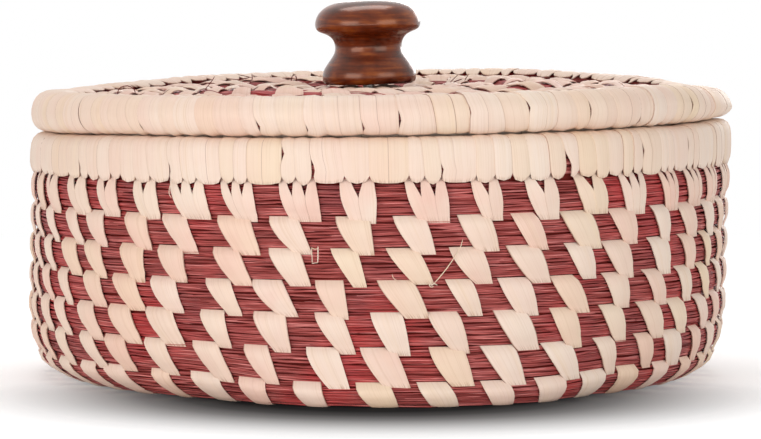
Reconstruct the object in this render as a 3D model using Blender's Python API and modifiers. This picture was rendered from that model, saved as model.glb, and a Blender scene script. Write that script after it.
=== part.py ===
# A round lidded bread basket, coiled from dyed fibre and bound with palm leaf, with a turned wooden knob.
# Metres, +Z up, the origin on the table under the middle of the basket, the front towards -Y.

import math

import bmesh
import bpy
import mathutils

MM = 0.001

# The wall: one fibre bundle laid in level rows, which climbs to the next row over the back half
WALL_RADIUS = 139.2 * MM
WALL_ROWS = 7
ROW_HEIGHT = 12.0 * MM
COIL_THICKNESS = 10.5 * MM
LOOP_GAP = 0.5 * MM
HEEL_INSET = 7.6 * MM
HEEL_HEIGHT = 30.0 * MM

# The base: the same bundle wound flat, round a tight knot
BASE_EYE_RADIUS = 6.0 * MM
BASE_ROW_WIDTH = 12.0 * MM

# The rim of the basket: a thicker bundle under a full wrap of leaf strips
RIM_OVERHANG = 1.3 * MM
RIM_THICKNESS = 13.2 * MM
RIM_HEIGHT = 17.6 * MM
WRAP_THICKNESS = 0.8 * MM
STRIPS_IN_A_RIM = 16

# The lid: a flat coil in a round rim, as wide as the rim of the basket
LID_RIM_THICKNESS = 15.0 * MM
LID_DISC_THICKNESS = 9.5 * MM
LID_DISC_DROP = 1.0 * MM
LID_ROW_WIDTH = 12.0 * MM
LID_LOOP_GAP = 1.0 * MM
KNOB_OFFSET = 4.8 * MM

# The ring under the lid that keeps it in the basket's mouth
LOCATING_RING_WIDTH = 8.0 * MM
LOCATING_RING_HEIGHT = 9.5 * MM
LOCATING_CLEARANCE = 2.0 * MM

# The knob and what holds it
KNOB_RADIUS = 21.2 * MM
KNOB_HEIGHT = 34.1 * MM
SCREW_RADIUS = 2.0 * MM
SCREW_BITE = 15.0 * MM
SCREW_TIP = 3.0 * MM
SCREW_HEAD_RADIUS = 4.2 * MM
SCREW_HEAD_HEIGHT = 2.4 * MM
SLOT_WIDTH = 1.0 * MM
SLOT_DEPTH = 1.1 * MM
WASHER_RADIUS = 15.0 * MM
WASHER_THICKNESS = 1.5 * MM

# Clearances
SEAT_GAP = 0.3 * MM
SCREW_CLEARANCE = 0.3 * MM
CUT_OVERRUN = 1.0 * MM
MERGE_DISTANCE = 0.01 * MM

# Counts and shares
POINTS_A_WALL_LOOP = 26
POINTS_A_FLAT_LOOP = 24
COIL_SIDES = 8
RIM_SIDES = 8
STEPS_A_STRIP = 2
TURNED_STEPS = 32
THINNEST_TAIL_SHARE = 0.2

# The knob's outline from the top down, as shares of its radius and of its height
KNOB_OUTLINE_SHARES = (
    (0.0, 1.0),
    (0.44, 0.988),
    (0.70, 0.957),
    (0.86, 0.896),
    (0.955, 0.83),
    (1.0, 0.765),
    (0.985, 0.70),
    (0.88, 0.652),
    (0.74, 0.61),
    (0.67, 0.555),
    (0.637, 0.475),
    (0.655, 0.39),
    (0.73, 0.298),
    (0.85, 0.222),
    (0.90, 0.15),
    (0.868, 0.065),
    (0.73, 0.0),
)

# Sizes worked out from the ones above
wall_centre_radius = WALL_RADIUS - COIL_THICKNESS / 2
wall_top = WALL_ROWS * ROW_HEIGHT
wall_coil_top = wall_top - LOOP_GAP / 2
rim_radius = WALL_RADIUS + RIM_OVERHANG
rim_centre_radius = rim_radius - RIM_THICKNESS / 2
rim_centre_height = wall_top + RIM_HEIGHT / 2
rim_top = rim_centre_height + RIM_HEIGHT / 2
lid_radius = rim_radius
lid_rim_centre_radius = lid_radius - LID_RIM_THICKNESS / 2
lid_rim_centre_height = rim_top + SEAT_GAP + LID_RIM_THICKNESS / 2
lid_disc_top = lid_rim_centre_height + LID_RIM_THICKNESS / 2 - LID_DISC_DROP
lid_disc_centre_height = lid_disc_top - LID_DISC_THICKNESS / 2
lid_disc_bottom = lid_disc_top - LID_DISC_THICKNESS
lid_rim_inner_radius = lid_radius - LID_RIM_THICKNESS
rim_steps = STRIPS_IN_A_RIM * STEPS_A_STRIP
lid_eye_radius = SCREW_RADIUS + SCREW_CLEARANCE
washer_top = lid_disc_bottom - SEAT_GAP
washer_bottom = washer_top - WASHER_THICKNESS
knob_bottom = lid_disc_top + SEAT_GAP
knob_place = mathutils.Vector((-KNOB_OFFSET, 0.0, 0.0))


# The coil's climb from one row to the next: 0 to 1 over the back half, level over the front half
def climb(angle):
    if angle >= math.pi:
        return 1.0
    return (1 - math.cos(angle)) / 2


# The lower and upper edge of the bundle after so many turns, counted in rows from the coil's first edge
def row_edges(turns, rows):
    turn = math.floor(turns)
    risen = climb((turns - turn) * 2 * math.pi)
    return max(0.0, turn - 1 + risen), min(float(rows), turn + risen)


# The turns at which the bundle is at least as thick as its thinnest tail, on an even grid
def stations(rows, points_a_loop):
    found = []
    for step in range((rows + 1) * points_a_loop):
        turns = step / points_a_loop
        low, high = row_edges(turns, rows)
        if high - low >= THINNEST_TAIL_SHARE:
            found.append((turns, low, high))
    return found


# How much of its full width the bundle keeps between two edges, with the gap to its neighbours left out
def tail_share(low, high, pitch, gap):
    return (pitch * (high - low) - gap) / (pitch - gap)


# The radius of the wall coil's middle line: the lowest rows draw in to the heel
def wall_radius_at(height):
    return wall_centre_radius - HEEL_INSET * max(0.0, 1 - height / HEEL_HEIGHT) ** 2


def on_circle(radius, turns, height):
    angle = turns * 2 * math.pi
    return mathutils.Vector((radius * math.cos(angle), radius * math.sin(angle), height))


def wall_path():
    path = []
    for turns, low, high in stations(WALL_ROWS, POINTS_A_WALL_LOOP):
        height = ROW_HEIGHT * (low + high) / 2
        place = on_circle(wall_radius_at(height), turns, height)
        path.append((place, tail_share(low, high, ROW_HEIGHT, LOOP_GAP)))
    return path


def flat_path(inner, outer, row_width, gap, height, eye_offset):
    rows = max(1, round((outer - inner) / row_width))
    pitch = (outer - inner) / rows
    path = []
    for turns, low, high in stations(rows, POINTS_A_FLAT_LOOP):
        radius = inner + pitch * (low + high) / 2
        place = on_circle(radius, turns, height)
        place.x -= eye_offset * (1 - radius / outer)
        path.append((place, tail_share(low, high, pitch, gap)))
    return path, pitch - gap


def print_least_gap(name, path, width, points_a_loop):
    gaps = []
    for (place, share), (later, later_share) in zip(path, path[points_a_loop:]):
        gaps.append((later - place).length - width * (share + later_share) / 2)
    print(f"{name}: {len(path) / points_a_loop:.1f} loops, least gap to itself {min(gaps) / MM:.2f} mm")


def material(name, colour, roughness, metallic=0.0):
    made = bpy.data.materials.new(name)
    made.use_nodes = True
    shader = made.node_tree.nodes["Principled BSDF"]
    shader.inputs["Base Color"].default_value = (*colour, 1.0)
    shader.inputs["Roughness"].default_value = roughness
    shader.inputs["Metallic"].default_value = metallic
    made.diffuse_color = (*colour, 1.0)
    return made


def add(obj, collection, finish=None, parent=None):
    collection.objects.link(obj)
    obj.parent = parent
    if finish:
        obj.data.materials.append(finish)
    return obj


# A flat-sided oval, clockwise: its flats stand half a size from the middle
def flat_oval(width, height, sides):
    reach = 1 / math.cos(math.pi / sides)
    points = []
    for side in range(sides):
        angle = math.pi / 2 - (side + 0.5) * 2 * math.pi / sides
        points.append((math.cos(angle) * reach * width / 2, math.sin(angle) * reach * height / 2))
    return points


# A six-sided bundle, clockwise: flat above and below, with its points towards the loops beside it
def flat_bottomed_hexagon(width, height):
    shoulder = width / 4
    return [
        (width / 2, 0.0),
        (shoulder, -height / 2),
        (-shoulder, -height / 2),
        (-width / 2, 0.0),
        (-shoulder, height / 2),
        (shoulder, height / 2),
    ]


# An unbroken tube: the section swept along the path by a curve object, thinned at its tails
def wound_tube(name, path, section, finish, parent=None):
    outline = bpy.data.curves.new(name + "_section", "CURVE")
    outline.dimensions = "2D"
    outline.fill_mode = "NONE"
    spline = outline.splines.new("POLY")
    spline.points.add(len(section) - 1)
    for point, (x, y) in zip(spline.points, section):
        point.co = (x, y, 0.0, 1.0)
    spline.use_cyclic_u = True
    guide = add(bpy.data.objects.new(name + "_section", outline), helpers)
    guide.hide_render = True
    guide.display_type = "WIRE"

    tube = bpy.data.curves.new(name, "CURVE")
    tube.dimensions = "3D"
    tube.twist_mode = "Z_UP"
    tube.bevel_mode = "OBJECT"
    tube.bevel_object = guide
    tube.use_fill_caps = True
    line = tube.splines.new("POLY")
    line.points.add(len(path) - 1)
    for point, (place, share) in zip(line.points, path):
        point.co = (*place, 1.0)
        point.radius = share
    return add(bpy.data.objects.new(name, tube), basket, finish, parent)


# A turned shape: an outline at +X that runs down its outer side, turned about Z
def turned(name, outline, finish, closed=False, steps=TURNED_STEPS, parent=None):
    mesh = bpy.data.meshes.new(name)
    shape = bmesh.new()
    points = [shape.verts.new((radius, 0.0, height)) for radius, height in outline]
    for start, end in zip(points, points[1:]):
        shape.edges.new((start, end))
    if closed:
        shape.edges.new((points[-1], points[0]))
    shape.to_mesh(mesh)
    shape.free()
    obj = add(bpy.data.objects.new(name, mesh), basket, finish, parent)
    screw = obj.modifiers.new("Turn", "SCREW")
    screw.steps = steps
    screw.render_steps = steps
    screw.use_merge_vertices = True
    screw.merge_threshold = MERGE_DISTANCE
    screw.use_smooth_shade = True
    return obj


# The corners of a rim's oval, clockwise, after the corner on its open side
def sleeve(centre_radius, centre_height, width, height, open_side):
    points = []
    for side in range(open_side + 1, open_side + RIM_SIDES):
        angle = -side * 2 * math.pi / RIM_SIDES
        points.append((
            centre_radius + math.cos(angle) * width / 2,
            centre_height + math.sin(angle) * height / 2,
        ))
    return points


# The fibre bundle inside a wrapped rim, with a flat seat on the wrap's open side
def rim_core(name, centre_radius, centre_height, width, height, open_side, seat, parent=None):
    inset = 2 * (WRAP_THICKNESS + SEAT_GAP)
    section = sleeve(centre_radius, centre_height, width - inset, height - inset, open_side)
    return turned(name, section + seat, dyed_fibre, closed=True, steps=rim_steps, parent=parent)


# One leaf strip of a rim's wrap: a sleeve over the bundle, for its share of the way round
def wrap_strip(name, number, centre_radius, centre_height, width, height, open_side, parent=None):
    inset = 2 * WRAP_THICKNESS
    outside = sleeve(centre_radius, centre_height, width, height, open_side)
    inside = sleeve(centre_radius, centre_height, width - inset, height - inset, open_side)
    joint = SEAT_GAP / centre_radius
    share = 2 * math.pi / STRIPS_IN_A_RIM
    shape = bmesh.new()
    corners = [shape.verts.new((radius, 0.0, z)) for radius, z in outside + inside[::-1]]
    face = shape.faces.new(corners)
    turn = mathutils.Matrix.Rotation(number * share + joint / 2, 3, "Z")
    bmesh.ops.rotate(shape, cent=(0.0, 0.0, 0.0), matrix=turn, verts=shape.verts)
    bmesh.ops.spin(
        shape,
        geom=[face, *face.edges, *face.verts],
        axis=(0.0, 0.0, 1.0),
        cent=(0.0, 0.0, 0.0),
        angle=share - joint,
        steps=STEPS_A_STRIP,
        use_duplicate=False,
    )
    bmesh.ops.recalc_face_normals(shape, faces=shape.faces)
    mesh = bpy.data.meshes.new(name)
    shape.to_mesh(mesh)
    shape.free()
    return add(bpy.data.objects.new(name, mesh), basket, palm_leaf, parent)


def make_base():
    facet = math.cos(math.pi / POINTS_A_WALL_LOOP)
    wall_inside = (wall_radius_at(ROW_HEIGHT / 2) - COIL_THICKNESS / 2) * facet
    outer = wall_inside - SEAT_GAP + LOOP_GAP / 2
    middle = COIL_THICKNESS / 2
    path, width = flat_path(BASE_EYE_RADIUS, outer, BASE_ROW_WIDTH, LOOP_GAP, middle, 0.0)
    print_least_gap("base_coil", path, width, POINTS_A_FLAT_LOOP)
    wound_tube("base_coil", path, flat_bottomed_hexagon(width, COIL_THICKNESS), dyed_fibre)

    radius = BASE_EYE_RADIUS * math.cos(math.pi / POINTS_A_FLAT_LOOP) - SEAT_GAP
    knot = [
        (0.0, COIL_THICKNESS),
        (radius / 2, COIL_THICKNESS - radius / 8),
        (radius, middle + radius / 2),
        (radius, middle - radius / 2),
        (radius / 2, radius / 8),
        (0.0, radius / 8),
    ]
    turned("base_knot", knot, palm_leaf, steps=TURNED_STEPS // 2)


def make_wall():
    path = wall_path()
    width = ROW_HEIGHT - LOOP_GAP
    print_least_gap("wall_coil", path, width, POINTS_A_WALL_LOOP)
    wound_tube("wall_coil", path, flat_oval(COIL_THICKNESS, width, COIL_SIDES), dyed_fibre)


def make_rim():
    size = (rim_centre_radius, rim_centre_height, RIM_THICKNESS, RIM_HEIGHT, RIM_SIDES // 4)
    seat_height = wall_coil_top + SEAT_GAP
    seat = [
        (wall_centre_radius + COIL_THICKNESS / 4, seat_height),
        (wall_centre_radius - COIL_THICKNESS / 4, seat_height),
    ]
    rim_core("rim_core", *size, seat)
    for number in range(STRIPS_IN_A_RIM):
        wrap_strip(f"rim_strip_{number + 1:02d}", number, *size)


def make_lid():
    thickness = LID_RIM_THICKNESS
    size = (lid_rim_centre_radius, lid_rim_centre_height, thickness, thickness, RIM_SIDES // 2)
    seat = [
        (lid_rim_inner_radius, lid_disc_centre_height - LID_DISC_THICKNESS / 4),
        (lid_rim_inner_radius, lid_disc_centre_height + LID_DISC_THICKNESS / 4),
    ]
    rim_core("lid_rim_core", *size, seat, lid)
    for number in range(STRIPS_IN_A_RIM):
        wrap_strip(f"lid_rim_strip_{number + 1:02d}", number, *size, lid)

    outer = lid_rim_inner_radius * math.cos(math.pi / rim_steps) - SEAT_GAP + LID_LOOP_GAP / 2
    path, width = flat_path(
        lid_eye_radius, outer, LID_ROW_WIDTH, LID_LOOP_GAP, lid_disc_centre_height, KNOB_OFFSET
    )
    print_least_gap("lid_coil", path, width, POINTS_A_FLAT_LOOP)
    section = flat_bottomed_hexagon(width, LID_DISC_THICKNESS)
    wound_tube("lid_coil", path, section, dyed_fibre, lid)

    ring_radius = rim_radius - RIM_THICKNESS - LOCATING_CLEARANCE - LOCATING_RING_WIDTH / 2
    ring_height = lid_disc_bottom - SEAT_GAP - LOCATING_RING_HEIGHT / 2
    ring = [
        (ring_radius + x, ring_height + z)
        for x, z in flat_oval(LOCATING_RING_WIDTH, LOCATING_RING_HEIGHT, COIL_SIDES)
    ]
    turned("lid_locating_ring", ring, palm_leaf, closed=True, parent=lid)


def make_knob():
    bore_radius = SCREW_RADIUS + SCREW_CLEARANCE
    bore_top = SCREW_BITE + SCREW_CLEARANCE
    outline = [
        (radius * KNOB_RADIUS, height * KNOB_HEIGHT) for radius, height in KNOB_OUTLINE_SHARES
    ]
    outline += [(bore_radius, 0.0), (bore_radius, bore_top), (0.0, bore_top)]
    knob = turned("knob", outline, turned_wood, parent=lid)
    knob.location = knob_place
    knob.location.z = knob_bottom


def make_fastening():
    hole_radius = SCREW_RADIUS + SCREW_CLEARANCE
    outline = [
        (hole_radius, washer_top),
        (WASHER_RADIUS, washer_top),
        (WASHER_RADIUS, washer_bottom),
        (hole_radius, washer_bottom),
    ]
    washer = turned("knob_washer", outline, plated_steel, closed=True, parent=lid)
    washer.location = knob_place

    head_top = washer_bottom - SEAT_GAP
    head_bottom = head_top - SCREW_HEAD_HEIGHT
    tip_top = knob_bottom + SCREW_BITE
    outline = [
        (0.0, tip_top),
        (SCREW_RADIUS, tip_top - SCREW_TIP),
        (SCREW_RADIUS, head_top),
        (SCREW_HEAD_RADIUS, head_top),
        (SCREW_HEAD_RADIUS, head_bottom + SCREW_HEAD_HEIGHT / 2),
        (SCREW_HEAD_RADIUS / 2, head_bottom),
        (0.0, head_bottom),
    ]
    screw = turned("knob_screw", outline, plated_steel, steps=TURNED_STEPS // 2, parent=lid)
    screw.location = knob_place

    slot = bpy.data.meshes.new("screw_slot_cutter")
    shape = bmesh.new()
    bmesh.ops.create_cube(shape, size=1.0)
    long_way = 2 * (SCREW_HEAD_RADIUS + CUT_OVERRUN)
    bmesh.ops.scale(shape, vec=(long_way, SLOT_WIDTH, SLOT_DEPTH + CUT_OVERRUN), verts=shape.verts)
    shape.to_mesh(slot)
    shape.free()
    cutter = add(bpy.data.objects.new("screw_slot_cutter", slot), helpers, parent=lid)
    cutter.location = knob_place
    cutter.location.z = head_bottom + (SLOT_DEPTH - CUT_OVERRUN) / 2
    cutter.hide_render = True
    cutter.display_type = "WIRE"
    cut = screw.modifiers.new("Slot", "BOOLEAN")
    cut.operation = "DIFFERENCE"
    cut.object = cutter


for old in list(bpy.data.objects):
    bpy.data.objects.remove(old)

basket = bpy.data.collections.new("bread_basket")
helpers = bpy.data.collections.new("sections_and_cutters")
bpy.context.scene.collection.children.link(basket)
bpy.context.scene.collection.children.link(helpers)

# The lid's pieces hang on an empty on the upright line along which the lid lifts off
lid = add(bpy.data.objects.new("lid", None), basket)

dyed_fibre = material("dyed_fibre", (0.30, 0.035, 0.045), 0.6)
palm_leaf = material("palm_leaf", (0.80, 0.66, 0.48), 0.55)
turned_wood = material("turned_wood", (0.13, 0.03, 0.012), 0.25)
plated_steel = material("plated_steel", (0.62, 0.62, 0.60), 0.35, 1.0)

make_base()
make_wall()
make_rim()
make_lid()
make_knob()
make_fastening()
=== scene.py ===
import math
import random
from functools import partial

import bpy
import numpy as np
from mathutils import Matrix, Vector


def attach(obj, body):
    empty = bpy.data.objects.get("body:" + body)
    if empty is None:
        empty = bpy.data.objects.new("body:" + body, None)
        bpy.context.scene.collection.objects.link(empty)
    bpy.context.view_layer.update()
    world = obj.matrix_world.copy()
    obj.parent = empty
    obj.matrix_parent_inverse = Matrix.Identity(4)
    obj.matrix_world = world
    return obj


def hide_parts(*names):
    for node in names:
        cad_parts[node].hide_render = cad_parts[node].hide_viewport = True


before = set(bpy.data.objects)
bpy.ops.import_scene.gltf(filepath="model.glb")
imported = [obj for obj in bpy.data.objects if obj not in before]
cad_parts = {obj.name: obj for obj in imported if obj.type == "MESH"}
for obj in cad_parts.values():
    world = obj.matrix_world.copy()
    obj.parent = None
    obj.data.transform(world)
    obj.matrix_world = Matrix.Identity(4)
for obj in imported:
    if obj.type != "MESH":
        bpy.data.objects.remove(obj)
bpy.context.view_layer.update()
print("frame loaded")

mm = 0.001
fullTurn = 2 * math.pi

# the coils as the CAD winds them: a row climbs to the next over the back half and lies level in front
wall = {
    "rows": 7,
    "rowHeight": 12.0 * mm,
    "radius": 133.95 * mm,
    "thickness": 10.5 * mm,
    "grooveDepth": 1.6 * mm,
    "groovePower": 3.0,
    "heelInset": 7.6 * mm,
    "heelHeight": 30.0 * mm,
    "cornerInset": 7.0 * mm,
    "cornerHeight": 9.0 * mm,
    "cornerFrom": 120.0 * mm,
    "footHeight": 0.5 * mm,
}
base = {
    "rows": 10,
    "inner": 6.0 * mm,
    "outer": 122.88 * mm,
    "bottom": 0.9 * mm,
    "thickness": 9.8 * mm,
    "offset": 0.0,
    "grooveDepth": 1.3 * mm,
    "groovePower": 3.5,
    "dish": 0.0,
    "uneven": 0.0,
}
lid = {
    "rows": 10,
    "inner": 2.3 * mm,
    "outer": 125.1 * mm,
    "bottom": 106.4 * mm,
    "thickness": 9.5 * mm,
    "offset": 4.8 * mm,
    "grooveDepth": 2.5 * mm,
    "groovePower": 2.2,
    "dish": 2.5 * mm,
    "uneven": 1.15 * mm,
}


# the lower and upper line of the bundle after so many turns, in rows from the coil's first line
def rowLines(turns, rows):
    turn = np.floor(turns)
    angle = (turns - turn) * fullTurn
    risen = np.where(angle >= math.pi, 1.0, (1 - np.cos(angle)) / 2)
    return np.maximum(0.0, turn - 1 + risen), np.minimum(float(rows), turn + risen)


def smoothStep(value):
    value = np.clip(value, 0, 1)
    return value ** 2 * (3 - 2 * value)


# 0 to 1, softly, from a place over a length, both in mm
def ease(value, start, length):
    return smoothStep((value - start * mm) / (length * mm))


def wallRadius(height):
    return wall["radius"] - wall["heelInset"] * np.maximum(0.0, 1 - height / wall["heelHeight"]) ** 2


# the lowest row rounds off towards the floor
def roundCorner(radius, height):
    rounding = wall["cornerInset"] * np.maximum(0.0, 1 - height / wall["cornerHeight"]) ** 1.6
    return radius - rounding * np.clip((radius - wall["cornerFrom"]) / (11 * mm), 0, 1.1)


# a coil's surface dips towards the lines between its rows
def dip(coil, share):
    return coil["grooveDepth"] * np.abs(2 * (share % 1.0) - 1) ** coil["groovePower"]


# made by hand, the basket leans a little, stands taller on its right and is lower at the back
handmade = {
    "tallerRight": 0.15,
    "lean": 0.02,
    "leanFrom": 84.0 * mm,
    # how much, on which side, and from where and over what length along X, in mm
    "lowBack": ((0.029, 1, 45, 85), (0.014, -1, 60, 70)),
    # side, drop, and from where and over what length along X and then Z, in mm
    "lowEnds": ((1, 4.2, 108, 29, 101, 13), (-1, 2.0, 92, 45, 84, 12), (-1, -1.2, 88, 45, 106, 10)),
    "highRim": 0.55 * mm,
    "highRimRight": 0.45,
    "frontHeel": 13.0 * mm,
    "frontSag": 2.2 * mm,
    "frontTurn": 0.1,
    "frontWidth": (0.79, 0.2),
}


# a point of the basket as its hand-made form has it, from its place round the middle of the even form
def turned(radius, angle, height, offset=0.0):
    # in front the heel stands out further, and the two lowest rows sag
    start, length = handmade["frontWidth"]
    front = smoothStep((-np.sin(angle - handmade["frontTurn"]) - start) / length)
    front = front * np.clip((radius - 108 * mm) / (14 * mm), 0, 1)
    radius = radius + front * handmade["frontHeel"] * np.maximum(0, 1 - height / (26 * mm)) ** 2
    height = height - front * handmade["frontSag"] * (ease(height, 0, 11) * ease(-height, -38, 26))
    x = radius * np.cos(angle) - offset + handmade["lean"] * (height - handmade["leanFrom"])
    y = radius * np.sin(angle)
    sag = sum(amount * ease(side * x, start, length) for amount, side, start, length in handmade["lowBack"])
    # behind, the lid's rim stands a little above its disc, more so on the right
    highRim = handmade["highRim"] * (1 + handmade["highRimRight"] * np.clip(x / (90 * mm), -1, 1))
    ends = -highRim * ease(radius, 119, 8) * ease(height, 102, 5) * ease(y, 5, 55)
    for side, drop, start, length, bottom, rise in handmade["lowEnds"]:
        outwards = np.clip((side * x / mm - start) / length, 0, 1.15) ** 1.5
        ends = ends + drop * mm * outwards * ease(height, bottom, rise)
    height = height * (1 + handmade["tallerRight"] * x - sag * ease(y, -30, 80)) - ends
    return np.stack([x, y, height], axis=1)


# a point on the wall: turns along the coil, the way along the row, down from the row's upper line, and lift
def onWall(turns, along, down, lift, inside=False):
    side = -1 if inside else 1
    turns = turns + side * along / (fullTurn * wall["radius"])
    low, high = rowLines(turns, wall["rows"])
    rowHeight = wall["rowHeight"]
    height = np.where(
        down < rowHeight, rowHeight * high - (high - low) * down, rowHeight * low - (down - rowHeight)
    )
    under = np.maximum(0.0, wall["footHeight"] - height)
    height = np.maximum(height, wall["footHeight"])
    flat = np.clip(under / mm, 0, 1)
    reach = wall["thickness"] / 2 - dip(wall, np.clip(down / rowHeight, 0, 2)) + lift * (1 - flat)
    radius = roundCorner(wallRadius(height) + side * reach, height) - under
    height = height - 0.42 * mm * np.tanh(lift / (0.7 * mm)) * flat
    return turned(radius, turns * fullTurn, height)


# a disc's rows lie a little above or below one another, lower on top about the knob, and the lid is dished
def discRise(disc, turns, radius, onTop):
    waves = 0.6 * np.sin(fullTurn * 0.37 * turns + 1.0) + 0.5 * np.sin(fullTurn * 3.41 * turns)
    away = ease(radius, 30, 18)
    sunk = 1.3 * (1 - away) * onTop
    return disc["uneven"] * (waves * away - sunk) - disc["dish"] * (radius / disc["outer"]) ** 2


# a point on a flat coil: turns along it, the way along the row, inwards from the row's outer line, and lift
def onDisc(disc, turns, along, down, lift, underside=False):
    pitch = (disc["outer"] - disc["inner"]) / disc["rows"]
    low, high = rowLines(turns, disc["rows"])
    radius = disc["inner"] + pitch * high - np.where(
        down < pitch, (high - low) * down, (high - low) * pitch + down - pitch
    )
    middle = np.maximum(disc["inner"] + pitch * (low + high) / 2, 8 * mm)
    side = 1 if underside else -1
    turns = turns + side * along / (fullTurn * middle)
    radius = np.maximum(radius, 1.5 * mm)
    reach = disc["thickness"] / 2 - dip(disc, np.clip(down / pitch, 0, 2)) + lift
    onInner = smoothStep((down / pitch - 0.9) / 0.2)
    rise = discRise(disc, turns, radius, not underside) * (1 - onInner)
    rise = rise + discRise(disc, turns - 1, radius, not underside) * onInner
    height = disc["bottom"] + disc["thickness"] / 2 - side * reach + rise
    return turned(radius, turns * fullTurn, height, disc["offset"] * (1 - radius / disc["outer"]))


# smooth values between a few given ones: a Catmull-Rom curve through the points
def smoothThrough(points, share):
    points = np.array(points, float)
    last = len(points) - 1
    place = np.clip(share, 0, 1) * last
    start = np.minimum(place.astype(int), last - 1)
    rest = (place - start)[:, None]
    before, left = points[np.maximum(start - 1, 0)], points[start]
    right, after = points[start + 1], points[np.minimum(start + 2, last)]
    return 0.5 * (
        2 * left + (right - before) * rest + (2 * before - 5 * left + 4 * right - after) * rest ** 2
        + (3 * left - before - 3 * right + after) * rest ** 3
    )


white = (1.0, 1.0, 1.0, 1.0)


# a colour as a screen shows it, as Blender's linear colour
def screen(*levels):
    return (*[c / 255 / 12.92 if c <= 10 else ((c / 255 + 0.055) / 1.055) ** 2.4 for c in levels], 1.0)


def setInputs(tree, node, inputs):
    for name, value in inputs.items():
        if isinstance(value, bpy.types.NodeSocket):
            tree.links.new(value, node.inputs[name])
        else:
            node.inputs[name].default_value = value


def addNode(tree, kind, inputs, **settings):
    made = tree.nodes.new("ShaderNode" + kind)
    for name, value in settings.items():
        setattr(made, name, value)
    setInputs(tree, made, inputs)
    return made


def addRamp(tree, value, stops):
    made = addNode(tree, "ValToRGB", {"Fac": value})
    ramp = made.color_ramp
    while len(ramp.elements) < len(stops):
        ramp.elements.new(0.5)
    for element, (place, colour) in zip(ramp.elements, stops):
        element.position = place
        element.color = colour
    return made.outputs["Color"]


def calculate(tree, operation, first, second=0.0, clamp=False):
    return addNode(tree, "Math", {0: first, 1: second}, operation=operation, use_clamp=clamp).outputs[0]


def multiply(tree, first, second):
    return calculate(tree, "MULTIPLY", first, second)


def vectorMath(tree, operation, place, other=(0, 0, 0)):
    return addNode(tree, "VectorMath", {0: place, 1: other}, operation=operation).outputs


def combine(tree, x, y, z=0.0):
    return addNode(tree, "CombineXYZ", {0: x, 1: y, 2: z}).outputs[0]


def separate(tree, place):
    return addNode(tree, "SeparateXYZ", {0: place}).outputs


def objectPlace(tree):
    return addNode(tree, "TexCoord", {}).outputs["Object"]


def spread(tree, value, fromLow, fromHigh, low, high):
    return addNode(tree, "MapRange", {0: value, 1: fromLow, 2: fromHigh, 3: low, 4: high}).outputs[0]


def mixColours(tree, factor, first, second, blend="MIX"):
    inputs = {0: factor, 6: first, 7: second}
    return addNode(tree, "Mix", inputs, data_type="RGBA", blend_type=blend).outputs[2]


def addNoise(tree, place, scale, detail, roughness=0.5):
    inputs = {"Vector": place, "Scale": scale, "Detail": detail, "Roughness": roughness}
    return addNode(tree, "TexNoise", inputs).outputs[0]


# a strip's or strand's own map: across it from 0 to 1, and along it in centimetres
def readStrip(tree):
    return separate(tree, addNode(tree, "UVMap", {}, uv_map="strip").outputs[0])


def newGroup(name, inputs, outputs):
    group = bpy.data.node_groups.new(name, "ShaderNodeTree")
    for label, value in inputs.items():
        socket = group.interface.new_socket(name=label, in_out="INPUT", socket_type="NodeSocketFloat")
        socket.default_value = value
    for label in outputs:
        group.interface.new_socket(name=label, in_out="OUTPUT", socket_type="NodeSocketFloat")
    return group, group.nodes.new("NodeGroupInput").outputs, group.nodes.new("NodeGroupOutput")


# fine lines along a strip or a strand, and broader ones
def lengthwiseFibres():
    group, given, put = newGroup(
        "lengthwiseFibres", {"Lines": 30.0, "Length": 0.5, "Seed": 0.0}, ("Fibres", "Broad")
    )
    parts = readStrip(group)
    across = multiply(group, parts[0], given["Lines"])
    along = multiply(group, parts[1], given["Length"])
    place = combine(group, across, along, multiply(group, given["Seed"], 37.0))
    wide = vectorMath(group, "MULTIPLY", place, (0.22, 0.6, 1.0))[0]
    setInputs(group, put, {
        "Fibres": addNoise(group, place, 1.0, 3.0),
        "Broad": addNoise(group, wide, 1.0, 2.0),
    })
    return group


# soft blotches of colour and wear, fixed to the object
def softPatches():
    group, given, put = newGroup("softPatches", {"Size": 40.0, "Seed": 0.0}, ["Patches"])
    shift = combine(group, given["Seed"], given["Seed"], given["Seed"])
    moved = vectorMath(group, "ADD", objectPlace(group), shift)[0]
    setInputs(group, put, {"Patches": addNoise(group, moved, given["Size"], 3.0)})
    return group


fibreGroup = lengthwiseFibres()
patchGroup = softPatches()


def fibresOf(tree, lines, length, tint):
    inputs = {"Lines": lines, "Length": length, "Seed": tint}
    return addNode(tree, "Group", inputs, node_tree=fibreGroup).outputs


def patchesOf(tree, size, seed=0.0):
    return addNode(tree, "Group", {"Size": size, "Seed": seed}, node_tree=patchGroup).outputs["Patches"]


def ownNumber(tree, name):
    return addNode(tree, "Attribute", {}, attribute_name=name).outputs["Fac"]


def offMiddle(tree):
    return calculate(tree, "ABSOLUTE", calculate(tree, "SUBTRACT", readStrip(tree)[0], 0.5))


# a colour with its fine lines darker
def drawLines(tree, colour, fibres, low, high, dark):
    lines = addRamp(tree, fibres["Fibres"], [(low, dark), (high, white)])
    return mixColours(tree, 1.0, colour, lines, "MULTIPLY")


def relief(tree, height, strength, depth):
    return addNode(tree, "Bump", {"Strength": strength, "Distance": depth, "Height": height}).outputs[0]


def lookRamp(tree, value, look):
    return addRamp(tree, value, [(place, look[colour]) for place, colour in look["ramp"]])


def startMaterial(name):
    material = bpy.data.materials.new(name)
    material.use_nodes = True
    return material, material.node_tree, material.node_tree.nodes["Principled BSDF"]


leafLook = {
    "cream": screen(234, 213, 193),
    "pale": screen(238, 220, 204),
    "straw": screen(235, 211, 180),
    "rose": screen(236, 204, 187),
    "stain": screen(231, 188, 172),
    # the brownish edge colour, which also serves as painted shade along the seams
    "edge": screen(158, 108, 88),
    "ramp": ((0.0, "cream"), (0.35, "pale"), (0.6, "cream"), (0.82, "straw"), (1.0, "rose")),
    "linesAcross": 24.0,
}


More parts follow.
